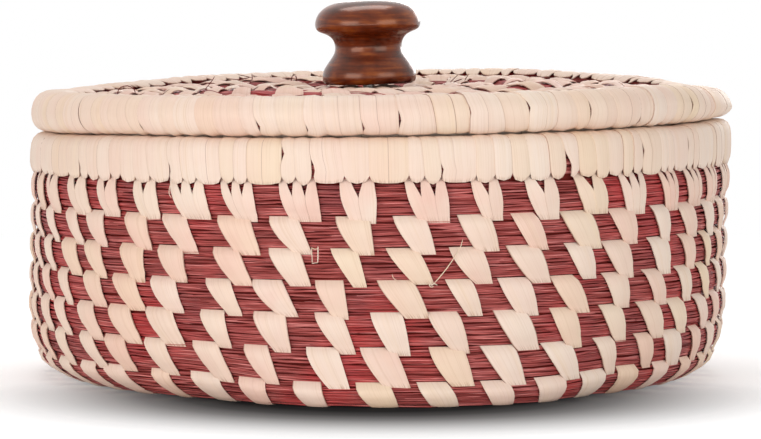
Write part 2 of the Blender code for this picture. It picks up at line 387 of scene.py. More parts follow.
def palmLeaf(name, look):
    material, tree, shader = startMaterial(name)
    tint = ownNumber(tree, "tint")
    fibres = fibresOf(tree, look["linesAcross"], 0.2, tint)
    leaf = lookRamp(tree, tint, look)
    leaf = mixColours(tree, spread(tree, fibres["Broad"], 0.5, 0.85, 0.0, 0.6), leaf, look["straw"])
    patches = spread(tree, patchesOf(tree, 45.0), 0.35, 0.65, 0.35, 1.0)
    leaf = mixColours(tree, multiply(tree, ownNumber(tree, "stain"), patches), leaf, look["stain"])
    leaf = drawLines(tree, leaf, fibres, 0.3, 0.5, (0.93, 0.90, 0.86, 1.0))
    # painted shade: the fine lines go darker in the creases where the strip is drawn in at its end
    creaseShadeAmount = spread(tree, readStrip(tree)[1], 0.03, 0.22, 0.75, 0.0)
    paintedCreaseShade = drawLines(tree, leaf, fibres, 0.40, 0.54, (0.6, 0.46, 0.38, 1.0))
    leaf = mixColours(tree, creaseShadeAmount, leaf, paintedCreaseShade)
    # edges that are darker on some strips: partly the leaf's own brownish edge, partly painted shade along
    # the seams between strips
    own = calculate(tree, "FRACT", multiply(tree, tint, 7.3))
    edgeAndSeamShadeStrength = multiply(tree, multiply(tree, own, own), 0.85)
    edge = multiply(tree, spread(tree, offMiddle(tree), 0.46, 0.495, 0.0, 1.0), edgeAndSeamShadeStrength)
    setInputs(tree, shader, {
        "Base Color": mixColours(tree, edge, leaf, look["edge"]),
        "Roughness": spread(tree, fibres["Fibres"], 0.2, 0.8, 0.66, 0.46),
        "Specular IOR Level": 0.3,
        "Normal": relief(tree, fibres["Fibres"], 0.3, 0.12 * mm),
    })
    return material


fibreLook = {
    "dark": screen(112, 30, 25),
    "deep": screen(152, 61, 56),
    "red": screen(184, 89, 84),
    "bright": screen(222, 136, 130),
    "vivid": screen(200, 54, 57),
    "plum": screen(148, 74, 76),
    "core": screen(104, 24, 17),
    "ramp": ((0.38, "dark"), (0.6, "deep"), (0.8, "red"), (1.05, "bright")),
    # colour, size, seed, where the patches are full and how strong they are there
    "patches": (("vivid", 24.0, 3.0, 0.68, 0.55), ("plum", 55.0, 7.0, 0.7, 0.5)),
}


def dyedFibre(name, look):
    material, tree, shader = startMaterial(name)
    tint = ownNumber(tree, "tint")
    fibres = fibresOf(tree, 5.0, 1.1, tint)
    mixed = calculate(tree, "ADD", multiply(tree, tint, 0.4), multiply(tree, fibres["Broad"], 1.1))
    colour = lookRamp(tree, mixed, look)
    for dye, size, seed, full, strength in look["patches"]:
        patches = spread(tree, patchesOf(tree, size, seed), 0.5, full, 0.0, strength)
        colour = mixColours(tree, patches, colour, look[dye])
    colour = drawLines(tree, colour, fibres, 0.34, 0.52, (0.62, 0.53, 0.53, 1.0))
    # painted shade: each strand goes darker towards its sides, where it meets its neighbours
    sides = spread(tree, offMiddle(tree), 0.3, 0.5, 0.0, 0.25)
    setInputs(tree, shader, {
        "Base Color": mixColours(tree, sides, colour, look["dark"]),
        "Roughness": 0.5,
        "Specular IOR Level": 0.35,
        "Normal": relief(tree, fibres["Fibres"], 0.5, 0.15 * mm),
    })
    return material


# the darkest dye: for the dark hairs on the lid, and for the fibre inside the bundles and behind the notches,
# where it is partly painted shade
def fibreCore(name, look):
    material, tree, shader = startMaterial(name)
    patches = patchesOf(tree, 300.0)
    setInputs(tree, shader, {
        "Base Color": addRamp(tree, patches, [(0.3, look["core"]), (0.8, look["dark"])]),
        "Roughness": 0.8,
        "Specular IOR Level": 0.2,
        "Normal": relief(tree, patches, 0.5, 0.3 * mm),
    })
    return material


woodLook = {
    "dark": screen(52, 14, 4),
    "body": screen(98, 36, 9),
    "warm": screen(150, 76, 24),
    "gloss": (1.0, 0.66, 0.52, 1.0),
    "ramp": ((0.36, "dark"), (0.5, "body"), (0.66, "warm")),
}


def turnedWood(name, look):
    material, tree, shader = startMaterial(name)
    turn = {"Vector": objectPlace(tree), "Scale": (60.0, 60.0, 650.0), "Rotation": (0.1, -0.07, 0.0)}
    grain = addNoise(tree, addNode(tree, "Mapping", turn).outputs[0], 1.0, 5.0, 0.6)
    patches = multiply(tree, patchesOf(tree, 95.0, 1.3), 0.45)
    setInputs(tree, shader, {
        "Base Color": lookRamp(tree, calculate(tree, "ADD", multiply(tree, grain, 0.55), patches), look),
        "Roughness": 0.22,
        "Specular IOR Level": 0.58,
        "Specular Tint": look["gloss"],
        "Normal": relief(tree, grain, 0.12, 0.1 * mm),
    })
    return material


def platedSteel(name):
    material, tree, shader = startMaterial(name)
    patches = patchesOf(tree, 420.0)
    setInputs(tree, shader, {
        "Base Color": addRamp(tree, patches, [(0.3, screen(150, 150, 148)), (0.7, screen(205, 205, 200))]),
        "Roughness": spread(tree, patches, 0.0, 1.0, 0.22, 0.5),
        "Metallic": 1.0,
    })
    return material


# each material with its slot's name
leafFinish = (palmLeaf("palmLeaf", leafLook), "palm_leaf")
fibreFinish = (dyedFibre("dyedFibre", fibreLook), "dyed_fibre")
coreFinish = (fibreCore("fibreCore", fibreLook), "dyed_fibre")
woodFinish = (turnedWood("turnedWood", woodLook), "turned_wood")
steelMaterial = platedSteel("platedSteel")
print("materials made")


def addShape(name, operator, **settings):
    bpy.ops.object.select_all(action="DESELECT")
    operator(**settings)
    bpy.context.object.name = name
    return bpy.context.object


def applyModifier(piece, kind, **settings):
    modifier = piece.modifiers.new(kind.capitalize(), kind)
    for name, value in settings.items():
        setattr(modifier, name, value)
    bpy.ops.object.modifier_apply(modifier=modifier.name)


def editAll():
    bpy.ops.object.mode_set(mode="EDIT")
    bpy.ops.mesh.select_all(action="SELECT")


def closeMesh():
    bpy.ops.mesh.select_all(action="SELECT")
    bpy.ops.mesh.normals_make_consistent(inside=False)
    bpy.ops.object.mode_set(mode="OBJECT")


def joinPieces(name, pieces):
    bpy.ops.object.select_all(action="DESELECT")
    for piece in pieces:
        piece.select_set(True)
    bpy.context.view_layer.objects.active = pieces[0]
    bpy.ops.object.join()
    joined = bpy.context.object
    joined.name = joined.data.name = name
    return joined


def addStripMap(model, across, along):
    for layer in list(model.data.uv_layers):
        model.data.uv_layers.remove(layer)
    layer = model.data.uv_layers.new(name="strip")
    corners = np.empty(len(model.data.loops), int)
    model.data.loops.foreach_get("vertex_index", corners)
    layer.data.foreach_set("uv", np.stack([across[corners], along[corners]], axis=1).ravel())


def coordinates(mesh):
    points = np.empty(len(mesh.vertices) * 3)
    mesh.vertices.foreach_get("co", points)
    return points.reshape(-1, 3)


# a flat leaf strip, one unit wide and one long, with its thickness below it
def modelStrip(name, across, along, thickness):
    grid = {"x_subdivisions": across, "y_subdivisions": along, "size": 1}
    strip = addShape(name, bpy.ops.mesh.primitive_grid_add, **grid)
    applyModifier(strip, "SOLIDIFY", thickness=thickness, offset=-1)
    bpy.ops.object.shade_smooth_by_angle(angle=math.radians(40))
    return strip


# a straight strand along X, of radius 1, with a ring of corners at each step of its length
def modelStrand(name, rings, sides, ringLength=0.7):
    tube = {"vertices": sides, "radius": 1, "depth": 1, "end_fill_type": "NOTHING"}
    strand = addShape(name, bpy.ops.mesh.primitive_cylinder_add, **tube)
    editAll()
    bpy.ops.transform.rotate(value=math.pi / 2, orient_axis="Y", center_override=(0, 0, 0))
    bpy.ops.object.mode_set(mode="OBJECT")
    applyModifier(strand, "ARRAY", count=rings, use_merge_vertices=True, merge_threshold=0.0001)
    editAll()
    bpy.ops.mesh.fill_holes(sides=sides)
    closeMesh()
    bpy.ops.object.shade_smooth()
    points = coordinates(strand.data)
    points[:, 0] -= points[:, 0].min()
    points[:, 0] /= points[:, 0].max()
    strand.data.vertices.foreach_set("co", points.ravel())
    addStripMap(strand, (points[:, 1] + 1) / 2, points[:, 0] * rings * ringLength)
    return strand


# a copy of a model with its own mesh, whose points go where place puts them
def bend(model, name, place, tint, stain=0.0):
    copy = model.copy()
    copy.data = model.data.copy()
    copy.name = name
    bpy.context.scene.collection.objects.link(copy)
    points = place(*coordinates(copy.data).T)
    copy.data.vertices.foreach_set("co", points.ravel())
    for label, value in (("tint", tint), ("stain", stain)):
        values = copy.data.attributes.new(label, "FLOAT", "POINT")
        values.data.foreach_set("value", np.full(len(points), value))
    return copy


def finishPiece(piece, finish, body, nodes=()):
    material, slot = finish
    piece.data.materials.clear()
    piece.data.materials.append(material)
    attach(piece, body)
    if nodes:
        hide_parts(*nodes)


strands = {
    "thickness": 0.9 * mm,
    "spacing": 0.64 * mm,
    "sunk": 0.65 * mm,
    "wander": 0.26 * mm,
    "waves": (2.3, 7.3, 17.7, 38.0),
    "waveShares": (1.0, 0.8, 0.7, 0.6),
    "press": 0.08 * mm,
    "pressWave": 11.1,
}


# the strands of one row of a coil: their place across its thickness and along its width, and their facing
def rowPlaces(coil, pitch):
    count = round(pitch / strands["spacing"])
    places = []
    for number in range(count):
        share = (number + 0.5) / count
        slope = (dip(coil, share + 0.02) - dip(coil, share - 0.02)) / 0.04
        facing = math.hypot(pitch, slope)
        thick = coil["thickness"] / 2 - dip(coil, share) - strands["sunk"]
        places.append((thick, (0.5 - share) * pitch, pitch / facing, -slope / facing))
    return places


# the middles of the strands round a bundle's section: a soft-cornered oval, round at a fullness of 2
def ovalPlaces(width, height, fullness):
    angles = np.linspace(0, fullTurn, 721)
    x, y = (
        (size - strands["thickness"]) / 2 * np.sign(wave) * np.abs(wave) ** (2 / fullness)
        for size, wave in ((width, np.cos(angles)), (height, np.sin(angles)))
    )
    steps = np.concatenate([[0], np.cumsum(np.hypot(np.diff(x), np.diff(y)))])
    count = round(steps[-1] / strands["spacing"])
    places = []
    for way in (steps[-1] * number / count for number in range(count)):
        turn = np.interp(way, steps, angles)
        places.append((np.interp(way, steps, x), np.interp(way, steps, y), math.cos(turn), math.sin(turn)))
    return places


# a point of a strand: path(along, outward, upward) is the bundle, place the strand's spot and facing in the
# bundle's section, and own its radius, the phases of its waves and its depth
def strandPlace(path, turns, place, ringsATurn, own, along, across, lift):
    outward, upward, facingOut, facingUp = place
    radius, phases, depth = own
    angle = along * turns * fullTurn * ringsATurn / 128
    sway = 0.0
    for wave, share, phase in zip(strands["waves"], strands["waveShares"], phases):
        sway = sway + strands["wander"] * share * np.sin(angle * wave + phase)
    press = depth + strands["press"] * np.sin(angle * strands["pressWave"] + phases[0])
    taper = np.clip(np.minimum(along, 1 - along) * turns * ringsATurn / 3, 0.15, 1)
    x = outward + press * facingOut - sway * facingUp
    y = upward + press * facingUp + sway * facingOut
    x = x + radius * taper * (lift * facingOut - across * facingUp)
    y = y + radius * taper * (lift * facingUp + across * facingOut)
    return path(along, x, y)


def layStrands(name, path, turns, places, ringsATurn, seed, body, nodes=()):
    chance = random.Random(seed)
    model = modelStrand(name + "Model", max(8, round(ringsATurn * turns)), 4)
    pieces = []
    for number, place in enumerate(places):
        radius = strands["thickness"] / 2 * chance.uniform(0.8, 1.2)
        phases = [chance.uniform(0, fullTurn) for wave in strands["waves"]]
        own = (radius, phases, chance.uniform(-0.35, 0.0) * mm)
        put = partial(strandPlace, path, turns, place, ringsATurn, own)
        pieces.append(bend(model, f"{name}{number}", put, chance.random()))
    bpy.data.objects.remove(model)
    finishPiece(joinPieces(name, pieces), fibreFinish, body, nodes)


# along the wall coil, with a place in the bundle's section; its underside is lifted off the floor
def alongWall(firstTurn, lastTurn, lifted, along, outward, upward):
    turns = firstTurn + (lastTurn - firstTurn) * along
    low, high = rowLines(turns, wall["rows"])
    share = np.clip(high - low, 0.2, 1)
    height = wall["rowHeight"] * (low + high) / 2 + upward * share
    height = np.maximum(height, lifted + height * (1 - lifted / wall["rowHeight"]))
    radius = roundCorner(wallRadius(height) + outward * share, height)
    return turned(radius, turns * fullTurn, height)


def alongDisc(disc, firstTurn, lastTurn, along, outward, upward):
    turns = firstTurn + (lastTurn - firstTurn) * along
    low, high = rowLines(turns, disc["rows"])
    middle = disc["inner"] + (disc["outer"] - disc["inner"]) / disc["rows"] * (low + high) / 2
    radius = middle + outward * np.clip(high - low, 0.2, 1)
    height = disc["bottom"] + disc["thickness"] / 2 + upward + discRise(disc, turns, radius, upward > 0)
    return turned(radius, turns * fullTurn, height, disc["offset"] * (1 - middle / disc["outer"]))


def alongRing(radius, height, along, outward, upward):
    return turned(radius + outward, along * fullTurn, height + upward)


def corePlace(path, width, height, along, across, lift):
    side, up = (np.sign(value) * np.abs(value) ** 0.4 for value in (lift, across))
    return path(along, side * width / 2, up * height / 2)


# the dark middle of a bundle, seen only between its strands: it fills the row, so that no light comes
# through, and its dark colour is partly painted shade of the gaps between the strands
def layCore(name, path, turns, width, height, body):
    model = modelStrand(name + "Model", max(24, round(60 * turns)), 12)
    core = bend(model, name, partial(corePlace, path, width, height), 0.5)
    bpy.data.objects.remove(model)
    finishPiece(core, coreFinish, body)


firstShare, lastShare = 0.148, 0.352
wallTurns = (firstShare, wall["rows"] + lastShare)
wallLength = wallTurns[1] - wallTurns[0]
wallPath = partial(alongWall, *wallTurns, 0.6 * mm)
outerPlaces = rowPlaces(wall, wall["rowHeight"])
innerPlaces = [(-thick, wide, -outward, upward) for thick, wide, outward, upward in outerPlaces]
footPlaces = [(wide - 0.9 * mm, -4.7 * mm, 0, -1) for thick, wide, outward, upward in outerPlaces]
footTurns = (firstShare, 1.3)
footPath = partial(alongWall, *footTurns, 0.6 * mm)
corePath = partial(alongWall, *wallTurns, 1.7 * mm)
layStrands("wallFibreOutside", wallPath, wallLength, outerPlaces, 128, 11, "basket", ["wall_coil"])
layStrands("wallFibreInside", wallPath, wallLength, innerPlaces, 96, 12, "basket")
layStrands("wallFibreFoot", footPath, footTurns[1] - footTurns[0], footPlaces, 96, 13, "basket")
layCore("wallCore", corePath, wallLength, wall["thickness"] - 3.6 * mm, wall["rowHeight"] * 1.03, "basket")
print("wall bundle laid")


def layDisc(name, disc, body, node, seed):
    pitch = (disc["outer"] - disc["inner"]) / disc["rows"]
    turns = (firstShare, disc["rows"] + lastShare)
    path = partial(alongDisc, disc, *turns)
    length = turns[1] - turns[0]
    row = rowPlaces(disc, pitch)
    topPlaces = [(wide, thick, aside, upward) for thick, wide, upward, aside in row]
    underPlaces = [(wide, -thick, aside, -upward) for thick, wide, upward, aside in row]
    layStrands(name + "FibreTop", path, length, topPlaces, 72, seed, body, [node])
    layStrands(name + "FibreUnder", path, length, underPlaces, 72, seed + 1, body)
    height = disc["thickness"] - 2 * disc["grooveDepth"] - 1.0 * mm
    layCore(name + "Core", path, length, pitch * 1.1, height, body)


layDisc("base", base, "basket", "base_coil", 21)
layDisc("lid", lid, "lid", "lid_coil", 31)
print("base and lid bundles laid")

wallStitch = {
    "aRound": 43,
    "driftDegrees": 0.9,
    "firstDegrees": 3.7,
    "jitterDegrees": 0.8,
    "crowding": 0.05,
    "narrowSides": 0.24,
    "aside": 1.5 * mm,
    "start": 0.0,
    "length": 14.4 * mm,
    "topWidth": 11.2 * mm,
    "bottomShare": 0.61,
    "lean": 9.3 * mm,
    "leftCurve": 1.32,
    "rightCurve": 0.8,
    "thickness": 0.35 * mm,
    "lifts": (-0.2, 0.5, 0.5, 0.45, 0.45, 0.45, 0.8, -0.3),
    "crown": 0.7 * mm,
    "stain": (0.2, 0.75),
    "varies": {
        "topWidth": (0.8, 1.2),
        "lean": (0.8, 1.22),
        "bottomShare": (0.8, 1.25),
        "leftCurve": (0.85, 1.2),
    },
}
insideStitch = {**wallStitch, "topWidth": 11.0 * mm, "lean": 15.5 * mm, "leftCurve": 1.2}
footLength = 17.5 * mm


# the way along the row to a stitch's middle
def stitchMiddle(shape):
    return (shape["topWidth"] + shape["lean"]) / 2 - shape["aside"]


# a point of a stitch on one row of a coil: surface(turns, along, down, lift) is the coil
def stitchPoint(surface, turns, shape, across, share, z):
    left = shape["lean"] * share ** shape["leftCurve"]
    bottomRight = shape["lean"] + shape["topWidth"] * shape["bottomShare"]
    right = shape["topWidth"] + (bottomRight - shape["topWidth"]) * share ** shape["rightCurve"]
    lift = smoothThrough([(value,) for value in shape["lifts"]], share)[:, 0] * mm
    crown = shape["crown"] * (1 - (2 * across - 1) ** 2) * np.sin(math.pi * np.clip(share, 0, 1)) ** 0.5
    along = left + (right - left) * across - stitchMiddle(shape)
    down = shape["start"] + share * (shape["length"] - shape["start"])
    return surface(np.full(len(share), turns), along, down, lift + crown + z)


def stitchPlace(surface, turns, shape, x, y, z):
    return stitchPoint(surface, turns, shape, x + 0.5, 0.5 - y, z)


def varied(shape, chance, narrowing=0.0):
    made = dict(shape)
    for label, factors in shape["varies"].items():
        made[label] *= chance.uniform(*factors)
    made["topWidth"] *= 1 - narrowing
    made["length"] += chance.uniform(-0.7, 0.5) * mm
    return made


# where each stitch stands along the wall coil, in turns: closer together at the two sides than in front
def wallStitchTurns(shape, chance):
    step = math.radians(360 + shape["driftDegrees"]) / shape["aRound"]
    first = math.radians(shape["firstDegrees"] / 1.15) + 3 * fullTurn
    found = []
    number = -round(first / step) - shape["aRound"]
    while True:
        azimuth = first + number * step
        number += 1
        azimuth += shape["crowding"] * (math.sin(azimuth) + math.sin(2 * azimuth))
        azimuth += math.radians(chance.uniform(-1, 1) * shape["jitterDegrees"])
        turns = azimuth / fullTurn + 0.75
        if turns > wallTurns[1] - 0.02:
            return found
        if turns > wallTurns[0] + 0.02:
            found.append(turns)


stitchModel = modelStrip("stitchModel", 3, 7, wallStitch["thickness"])
fanModel = modelStrip("fanModel", 2, 8, wallStitch["thickness"])
for model in (stitchModel, fanModel):
    flat = coordinates(model.data)
    addStripMap(model, flat[:, 0] + 0.5, (flat[:, 1] + 0.5) * 1.46)

# under the rim a stitch is several strips: their tips stand apart in the rim's notches, and they meet below
fan = {
    "changes": {"topWidth": 1.24, "lean": 0.76, "bottomShare": 1.06},
    "start": -3.2 * mm,
    "tips": {2: (0.2, 0.8), 3: (0.12, 0.5, 0.88)},
    "tipWidth": 0.5,
    "footWidth": 1.12,
    "step": 0.12 * mm,
}


def fanPlace(surface, turns, shape, part, parts, x, y, z):
    share = 0.5 - y
    tip = fan["tips"][parts][part]
    middle = tip + ((part + 0.5) / parts - tip) * smoothStep(share / 0.55)
    width = (fan["tipWidth"] + (fan["footWidth"] - fan["tipWidth"]) * smoothStep(share / 0.6)) / parts
    return stitchPoint(surface, turns, shape, middle + x * width, share, z + fan["step"] * part)


def stitchWall(name, surface, shape, seed, firstTurn):
    chance = random.Random(seed)
    pieces = []
    tips = []
    for number, turns in enumerate(wallStitchTurns(shape, chance)):
        made = varied(shape, chance, shape["narrowSides"] * math.cos(turns * fullTurn) ** 4)
        tint = chance.random()
        stain = chance.uniform(*shape["stain"])
        if turns < firstTurn:
            continue
        low, high = rowLines(np.array([turns]), wall["rows"])
        if high[0] > wall["rows"] - 0.2:
            parts = chance.choice((2, 2, 3, 3))
            for label, factor in fan["changes"].items():
                made[label] *= factor
            made["start"] = fan["start"]
            for part in range(parts):
                place = partial(fanPlace, surface, turns, made, part, parts)
                own = (tint + 0.04 * part) % 1
                pieces.append(bend(fanModel, f"{name}{number}Part{part}", place, own, min(1.0, stain + 0.1)))
                along = made["topWidth"] * fan["tips"][parts][part] - stitchMiddle(made) + 0.4 * mm
                tips.append(turns * fullTurn + along / wall["radius"])
        else:
            if low[0] < 0.02:
                made["length"] = footLength
            place = partial(stitchPlace, surface, turns, made)
            pieces.append(bend(stitchModel, f"{name}{number}", place, tint, stain))
    finishPiece(joinPieces(name, pieces), leafFinish, "basket")
    return tips


fanTips = stitchWall("wallStitchesOutside", onWall, wallStitch, 41, 0.0)
stitchWall("wallStitchesInside", partial(onWall, inside=True), insideStitch, 42, 1.15)
print("wall stitched")

discStitch = {
    **wallStitch,
    "spacing": 20.0 * mm,
    "topWidth": 11.5 * mm,
    "lean": 8.0 * mm,
    "length": 14.0 * mm,
}
lidStitch = {
    **discStitch,
    "spacing": 21.0 * mm,
    "topWidth": 10.2 * mm,
    "lean": 11.0 * mm,
    "length": 14.2 * mm,
    "lifts": (-0.4, 0.4, 0.8, 0.9, 0.8, 0.7, 1.2, -0.3),
    "stain": (0.6, 1.0),
}
underStitch = {
    **discStitch,
    "topWidth": 10.0 * mm,
    "lean": 13.0 * mm,
    "leftCurve": 1.2,
    "lifts": (-0.3, 0.2, 0.3, 0.3, 0.3, 0.3, 0.45, -0.3),
    "crown": 0.25 * mm,
}


def stitchDisc(name, disc, underside, shape, body, seed):
    chance = random.Random(seed)
    pitch = (disc["outer"] - disc["inner"]) / disc["rows"]
    surface = partial(onDisc, disc, underside=underside)
    pieces = []
    turns = firstShare + 0.1
    while turns < disc["rows"] + lastShare - 0.03:
        low, high = rowLines(np.array([turns]), disc["rows"])
        radius = disc["inner"] + pitch * (low[0] + high[0]) / 2
        size = min(1.0, 0.35 + radius / (60 * mm))
        made = varied(shape, chance)
        made["topWidth"] *= size
        made["lean"] *= size
        made["length"] *= min(1.0, 0.75 + radius / (80 * mm))
        place = partial(stitchPlace, surface, turns, made)
        tint = chance.random()
        pieces.append(bend(stitchModel, f"{name}{len(pieces)}", place, tint, chance.uniform(*shape["stain"])))
        turns += shape["spacing"] * size * chance.uniform(0.9, 1.1) / (fullTurn * max(radius, 8 * mm))
    finishPiece(joinPieces(name, pieces), leafFinish, body)


stitchDisc("baseStitchesTop", base, False, discStitch, "basket", 51)
stitchDisc("baseStitchesUnder", base, True, underStitch, "basket", 52)
stitchDisc("lidStitchesTop", lid, False, lidStitch, "lid", 53)
stitchDisc("lidStitchesUnder", lid, True, underStitch, "lid", 54)
print("base and lid stitched")

# how the rims are wrapped: a group of strips is at least so wide, one wider than splitOver may be two groups,
# and each strip laps over the next
wrap = {
    "least": 3.4 * mm,
    "splitOver": 11.5 * mm,
    "stripWidth": 6.5 * mm,
    "overlap": 0.4 * mm,
    "sunk": 0.3 * mm,
    "pillowLength": 0.13,
    "leastReach": 6.0 * mm,
}

# the wrapped rims: slits give the angle round from the front in degrees, the share up the section, its
# length there and the width in mm
basketRim = {
    "radius": 133.9 * mm,
    "height": 92.8 * mm,
    "groupWidth": 8.5 * mm,
    "notch": 1.1 * mm,
    "notchLength": 0.065,
    "corner": 0.013,
    "shift": 0.02,
    "lean": (0.4, 3.4),
    "leanFrom": 0.0,
    "pillow": 0.3 * mm,
    "pillowAt": 0.06,
    "slits": (
        (-57, 0.1, 0.07, 1.5), (-34, 0.12, 0.06, 1.3), (-16.5, 0.25, 0.06, 1.5), (-8.8, 0.11, 0.08, 1.6),
        (9, 0.1, 0.05, 1.1), (30.8, 0.09, 0.1, 2.6), (46, 0.2, 0.06, 1.3), (58, 0.22, 0.05, 1.2),
        (100, 0.15, 0.07, 1.6), (138, 0.12, 0.08, 1.8), (171, 0.2, 0.06, 1.3), (214, 0.1, 0.08, 1.7),
        (240, 0.16, 0.06, 1.2),
    ),
    "stain": (0.25, 0.5),
    # the wrap's section from its lower outer end, over the top, to its lower inner end
    "section": (
        (5.4, -9.1), (5.85, -7.8), (6.3, -5.6), (6.55, -2.5), (6.6, 1.0), (6.3, 4.6), (5.0, 7.3),
        (2.6, 8.4), (0.0, 8.6), (-2.6, 8.4), (-5.0, 7.3), (-6.3, 4.6), (-6.6, 1.0), (-6.55, -2.5),
        (-6.3, -6.0), (-5.75, -8.6), (-5.3, -10.3),
    ),
}
lidRim = {
    "radius": 133.0 * mm,
    "height": 109.4 * mm,
    "groupWidth": 9.0 * mm,
    "notch": 1.5 * mm,
    "notchLength": 0.09,
    "corner": 0.028,
    "shift": 0.036,
    "lean": (1.0, 5.0),
    "leanFrom": 0.5,
    "pillow": 0.45 * mm,
    "pillowAt": 0.33,
    "slits": (
        (-55.7, 0.45, 0.3, 1.1), (-40, 0.36, 0.05, 0.9), (-19, 0.4, 0.06, 1.5), (-12.3, 0.36, 0.05, 1.1),
        (-5.5, 0.4, 0.07, 1.6), (-1.3, 0.36, 0.05, 1.2), (4.6, 0.46, 0.09, 1.3), (13.7, 0.52, 0.05, 0.8),
        (23.5, 0.56, 0.06, 1.3), (34.5, 0.5, 0.1, 1.0), (46, 0.36, 0.05, 1.3), (60, 0.5, 0.08, 1.4),
        (84, 0.45, 0.07, 1.2), (122, 0.4, 0.08, 1.5), (150, 0.5, 0.06, 1.1), (186, 0.4, 0.08, 1.4),
        (228, 0.46, 0.06, 1.3), (262, 0.38, 0.07, 1.3),
    ),
    "stain": (0.3, 0.55),
    # from its inner end under the lid, round the outside, to its inner end on top
    "section": (
        (-8.9, -3.2), (-7.0, -3.7), (-5.0, -5.3), (-2.4, -6.9), (0.6, -7.3), (3.8, -6.5), (6.2, -4.3),
        (7.4, -1.0), (7.4, 1.6), (6.3, 4.5), (3.9, 6.7), (1.0, 7.5), (-2.2, 7.5), (-5.2, 7.2),
        (-7.9, 6.5), (-10.4, 5.2),
    ),
}
locatingRing = {
    **lidRim,
    "radius": 121.3 * mm,
    "height": 101.35 * mm,
    "groupWidth": 8.8 * mm,
    "notch": 0.0,
    "pillow": 0.0,
    "lean": (0.0, 2.0),
    "slits": ((20, 0.5, 0.06, 1.1), (95, 0.4, 0.06, 1.3), (200, 0.6, 0.06, 1.2), (290, 0.5, 0.08, 1.2)),
    "section": (
        (0.0, 4.6), (-2.4, 4.3), (-3.8, 2.7), (-4.0, 0.0), (-3.8, -2.7), (-2.4, -4.4), (0.0, -4.7),
        (2.4, -4.4), (3.8, -2.7), (4.0, 0.0), (3.8, 2.7), (2.4, 4.3), (0.0, 4.6),
    ),
}


# the section's points and outward directions at shares of its length
def alongSection(section, share):
    points = smoothThrough(section, np.linspace(0, 1, 241)) * mm
    steps = np.concatenate([[0], np.cumsum(np.hypot(*np.diff(points, axis=0).T))])

    def pointAt(way):
        return np.stack([np.interp(way, steps, points[:, side]) for side in (0, 1)], axis=1)

    way = share * steps[-1]
    ahead, behind = (pointAt(np.clip(way + step, 0, steps[-1])) for step in (0.2 * mm, -0.2 * mm))
    run = ahead - behind
    run /= np.linalg.norm(run, axis=1)[:, None]
    return pointAt(way), np.stack([run[:, 1], -run[:, 0]], axis=1)


# the radius at which the widths round a rim are measured
def rimReach(rim):
    return max(rim["radius"], wrap["leastReach"])


# where one group of strips ends and the next begins, in radians round the rim
def rimEdges(rim, tips, chance):
    if not tips:
        count = round(fullTurn * rim["radius"] / rim["groupWidth"])
        widths = [chance.uniform(0.55, 1.55) for group in range(count)]
        return np.cumsum([0.0] + widths) / sum(widths) * fullTurn
    edges = []
    for tip in sorted(tip % fullTurn for tip in tips):
        if not edges or tip - edges[-1] > wrap["least"] / rimReach(rim):
            edges.append(tip)
    edges.append(edges[0] + fullTurn)
    made = []
    for left, right in zip(edges, edges[1:]):
        made.append(left)
        if right - left > wrap["splitOver"] / rimReach(rim) and chance.random() < 0.4:
            made.append(left + (right - left) * chance.uniform(0.4, 0.6))
    return np.array(made + [edges[-1]])


# a point of one strip of a group: group holds the group's two edges and how it differs from the next
def rimPlace(rim, group, first, last, seam, x, y, z):
    across, share = x + 0.5, y + 0.5
    fromEnd = np.minimum(share, 1 - share) / rim["notchLength"]
    pinch = group["pinch"] * np.clip(1 - fromEnd, 0, 1) ** 1.2
    leaned = (share - rim["leanFrom"]) / 0.5
    left = group["left"] - group["leanLeft"] * leaned + pinch
    right = group["right"] - group["leanRight"] * leaned - pinch
    if group["slit"]:
        at, length, width = group["slit"]
        left = left + width * mm / rimReach(rim) * np.exp(-((share - at) / length) ** 2)
    overlap = wrap["overlap"] / rimReach(rim) * np.clip(fromEnd, 0, 1)
    spot = first + (last - first) * across
    angle = left + (right - left) * spot + overlap * (spot >= 0.999)
    aside = np.abs(2 * np.clip(spot, 0, 1) - 1)
    start, end = (np.maximum(0.0, shift + rim["corner"] * aside ** 3) for shift in group["shifts"])
    middle, outward = alongSection(rim["section"], start + share * (1 - start - end))
    pillow = np.exp(-((share - rim["pillowAt"]) / wrap["pillowLength"]) ** 2)
    pillow = rim["pillow"] * (1 - aside ** 2) * pillow
    crown = (0.12 * (1 - (2 * across - 1) ** 2) + group["crown"] * (1 - aside ** 2)) * mm
    edgeLift = seam * (1 - across) * np.clip(fromEnd * 2, 0, 1)
    lift = crown + pillow + edgeLift + group["level"] + z - wrap["sunk"]
    radius = rim["radius"] + middle[:, 0] + outward[:, 0] * lift
    return turned(radius, angle, rim["height"] + middle[:, 1] + outward[:, 1] * lift)


rimStripModel = modelStrip("rimStripModel", 2, 20, 0.4 * mm)
flat = coordinates(rimStripModel.data)
addStripMap(rimStripModel, flat[:, 0] + 0.5, (0.5 - np.abs(flat[:, 1])) * 5.8)


